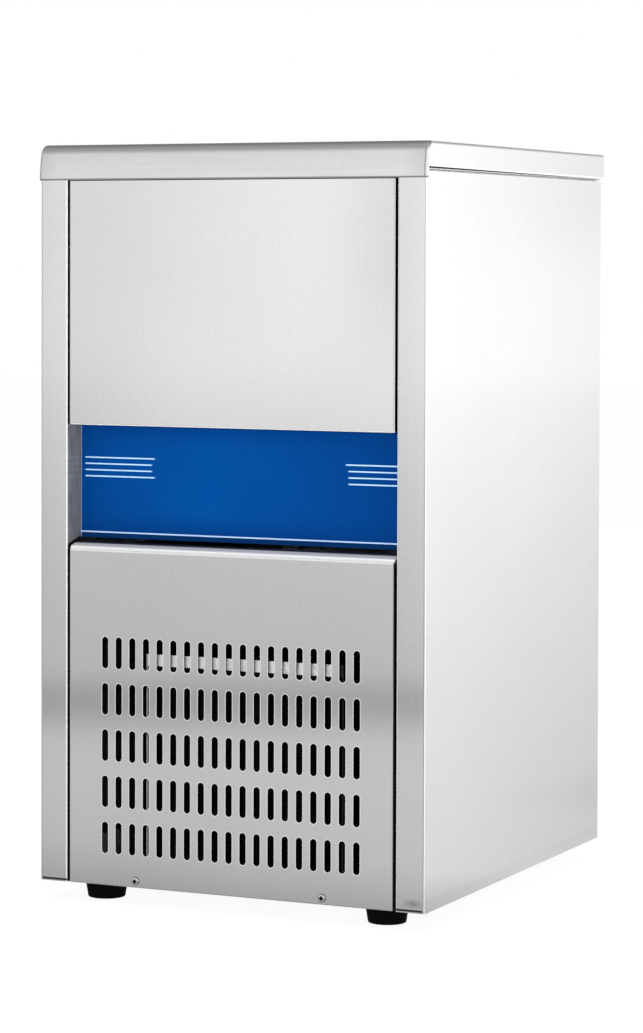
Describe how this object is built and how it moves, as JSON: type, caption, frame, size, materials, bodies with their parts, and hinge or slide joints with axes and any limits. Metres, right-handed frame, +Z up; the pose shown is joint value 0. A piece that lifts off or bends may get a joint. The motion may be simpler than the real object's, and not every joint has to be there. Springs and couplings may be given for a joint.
{
  "type": "under-counter ice cube machine",
  "caption": "Stainless under-counter ice cube machine with a drop-front door over an ice bin, a slotted air grille and short rubber feet.",
  "frame": {"origin": "middle of the bounding box's base, on the floor under the feet", "axes": "+Z up, the door and the grille face -Y, +X to the right of someone who faces the door"},
  "size_m": [0.3926, 0.4578, 0.702],
  "materials": {
    "stainless": "brushed stainless sheet",
    "galvanised": "galvanised sheet",
    "blue_plate": "printed blue plate with thin white lines",
    "rubber": "moulded black rubber",
    "gasket": "soft grey seal",
    "white_plastic": "smooth moulded plastic",
    "black_plastic": "fine-textured plastic",
    "foam": "rigid yellow foam",
    "copper": "drawn copper pipe",
    "tinned_copper": "tinned copper",
    "aluminium": "pressed aluminium",
    "black_paint": "black paint",
    "screw_steel": "plain bright steel",
    "brass": "machined brass"
  },
  "bodies": {
    "cabinet": {"side_panel_left": "stainless", "side_panel_right": "stainless", "top_cover": "stainless", "front_grille": "stainless", "base_tray": "galvanised", "partition_plate": "galvanised", "rear_panel": "galvanised", "cover_inner_sheet": "galvanised", "bin_front_sheet": "galvanised", "front_top_rail": "galvanised", "evaporator_bracket_left": "galvanised", "evaporator_bracket_right": "galvanised", "fan_shroud": "galvanised", "fan_motor_bracket": "galvanised", "control_box": "galvanised", "control_box_cover": "galvanised", "front_fascia": "blue_plate", "foot_front_left": "rubber", "foot_front_right": "rubber", "foot_rear_left": "rubber", "foot_rear_right": "rubber", "pump_hose": "rubber", "bin_liner": "white_plastic", "water_distributor": "white_plastic", "water_sump": "white_plastic", "water_inlet_valve": "white_plastic", "inlet_hose": "white_plastic", "drain_pipe": "white_plastic", "drain_spigot": "white_plastic", "water_pump": "black_plastic", "power_inlet": "black_plastic", "power_switch_body": "black_plastic", "cover_insulation": "foam", "bin_insulation": "foam", "evaporator_coil": "copper", "discharge_pipe": "copper", "condenser_pipe": "copper", "hot_gas_pipe": "copper", "suction_pipe": "copper", "liquid_line": "copper", "evaporator_grid": "tinned_copper", "fan_motor": "black_paint", "condenser_fins": "black_paint", "condenser_end_left": "black_paint", "condenser_end_right": "black_paint", "compressor": "black_paint", "hot_gas_valve": "brass", "door_pin_left": "screw_steel", "door_pin_right": "screw_steel", "grille_screw_left": "screw_steel", "grille_screw_right": "screw_steel"},
    "door": {"door_skin": "stainless", "door_foam": "foam", "door_liner": "white_plastic", "door_gasket": "gasket"},
    "fan": {"fan_shaft": "screw_steel", "fan_blade": "aluminium"},
    "curtain": {"water_curtain": "white_plastic"},
    "switch_rocker": {"power_switch_rocker": "black_plastic"}
  },
  "joints": [
    {"name": "door_hinge", "type": "hinge", "parent": "cabinet", "child": "door", "pos_m": [0, -0.2151, 0.654], "axis": [-1, 0, 0], "range_deg": [0, 90]},
    {"name": "fan_spin", "type": "hinge", "parent": "cabinet", "child": "fan", "pos_m": [-0.0135, -0.1141, 0.122], "axis": [0, 1, 0], "continuous": true},
    {"name": "curtain_hinge", "type": "hinge", "parent": "cabinet", "child": "curtain", "pos_m": [0, 0.0999, 0.667], "axis": [-1, 0, 0], "range_deg": [0, 35]},
    {"name": "switch_hinge", "type": "hinge", "parent": "cabinet", "child": "switch_rocker", "pos_m": [-0.15, 0.2129, 0.165], "axis": [-1, 0, 0], "range_deg": [0, 20]}
  ]
}
